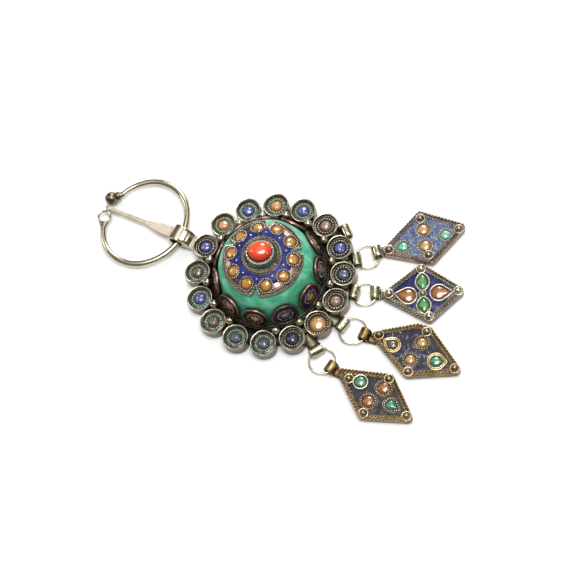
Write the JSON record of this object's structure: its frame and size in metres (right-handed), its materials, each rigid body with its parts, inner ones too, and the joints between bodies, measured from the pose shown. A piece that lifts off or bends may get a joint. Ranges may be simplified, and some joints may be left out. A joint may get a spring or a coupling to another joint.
{
  "type": "fibula brooch",
  "caption": "Enamelled disc brooch with a raised dome, a coral centre, a pin with a swinging penannular ring and lozenge pendants on jump rings.",
  "frame": {"origin": "middle of the plaque's flat back face, on the surface that the brooch lies on", "axes": "+X from the clasp ring towards the pendants, +Z out of the enamelled face"},
  "size_m": [0.1498, 0.0801, 0.0259],
  "materials": {
    "silver": "tarnished silver, bright on the high spots and dark in the recesses",
    "cap_silver": "silver with a pink copper tone",
    "clasp_silver": "worn polished silver with a warm tarnish",
    "pendant_silver": "tarnished silver with twisted wire borders",
    "pendant_bronze": "silver with a gold brown tarnish",
    "green_enamel": "glossy green enamel with fine pits",
    "blue_enamel": "glossy royal blue enamel, uneven in depth",
    "dark_blue_enamel": "dark blue enamel",
    "amber_enamel": "domed yellow-orange enamel",
    "amber_glass": "domed orange-brown enamel drops",
    "blue_glass": "domed blue enamel drops",
    "coral": "polished orange-red coral"
  },
  "bodies": {
    "plaque": {"plaque": "silver", "green_dome": "green_enamel", "cap": "cap_silver", "cap_enamel": "blue_enamel", "cap_dots": "amber_enamel", "coral": "coral", "skirt_enamel": "dark_blue_enamel", "skirt_stones": "amber_enamel", "pin": "silver", "cup_stone_1": "blue_glass", "cup_stone_2": "amber_glass", "cup_stone_3": "blue_glass", "cup_stone_4": "amber_glass", "cup_stone_5": "blue_glass", "cup_stone_6": "amber_glass", "cup_stone_7": "blue_glass", "cup_stone_8": "amber_glass", "cup_stone_9": "blue_glass", "cup_stone_10": "amber_glass", "cup_stone_11": "blue_glass", "cup_stone_12": "amber_glass", "cup_stone_13": "blue_glass", "cup_stone_14": "amber_glass", "cup_stone_15": "blue_glass", "cup_stone_16": "amber_glass", "jump_ring_1": "clasp_silver", "jump_ring_2": "clasp_silver", "jump_ring_3": "clasp_silver", "jump_ring_4": "clasp_silver", "pendant_1": "pendant_silver", "pendant_2": "pendant_silver", "pendant_3": "pendant_bronze", "pendant_4": "pendant_bronze", "pendant_1_enamel": "blue_enamel", "pendant_2_enamel": "blue_enamel", "pendant_3_enamel": "blue_enamel", "pendant_4_enamel": "blue_enamel", "pendant_1_stones": "amber_glass", "pendant_2_stones": "amber_glass", "pendant_3_stones": "amber_glass", "pendant_4_stones": "amber_glass"},
    "ring": {"clasp_ring": "clasp_silver"}
  },
  "joints": [
    {"name": "ring_swing", "type": "hinge", "parent": "plaque", "child": "ring", "pos_m": [-0.0382, 0, 0.0026], "axis": [0, 1, 0], "range_deg": [-150, 130]}
  ]
}
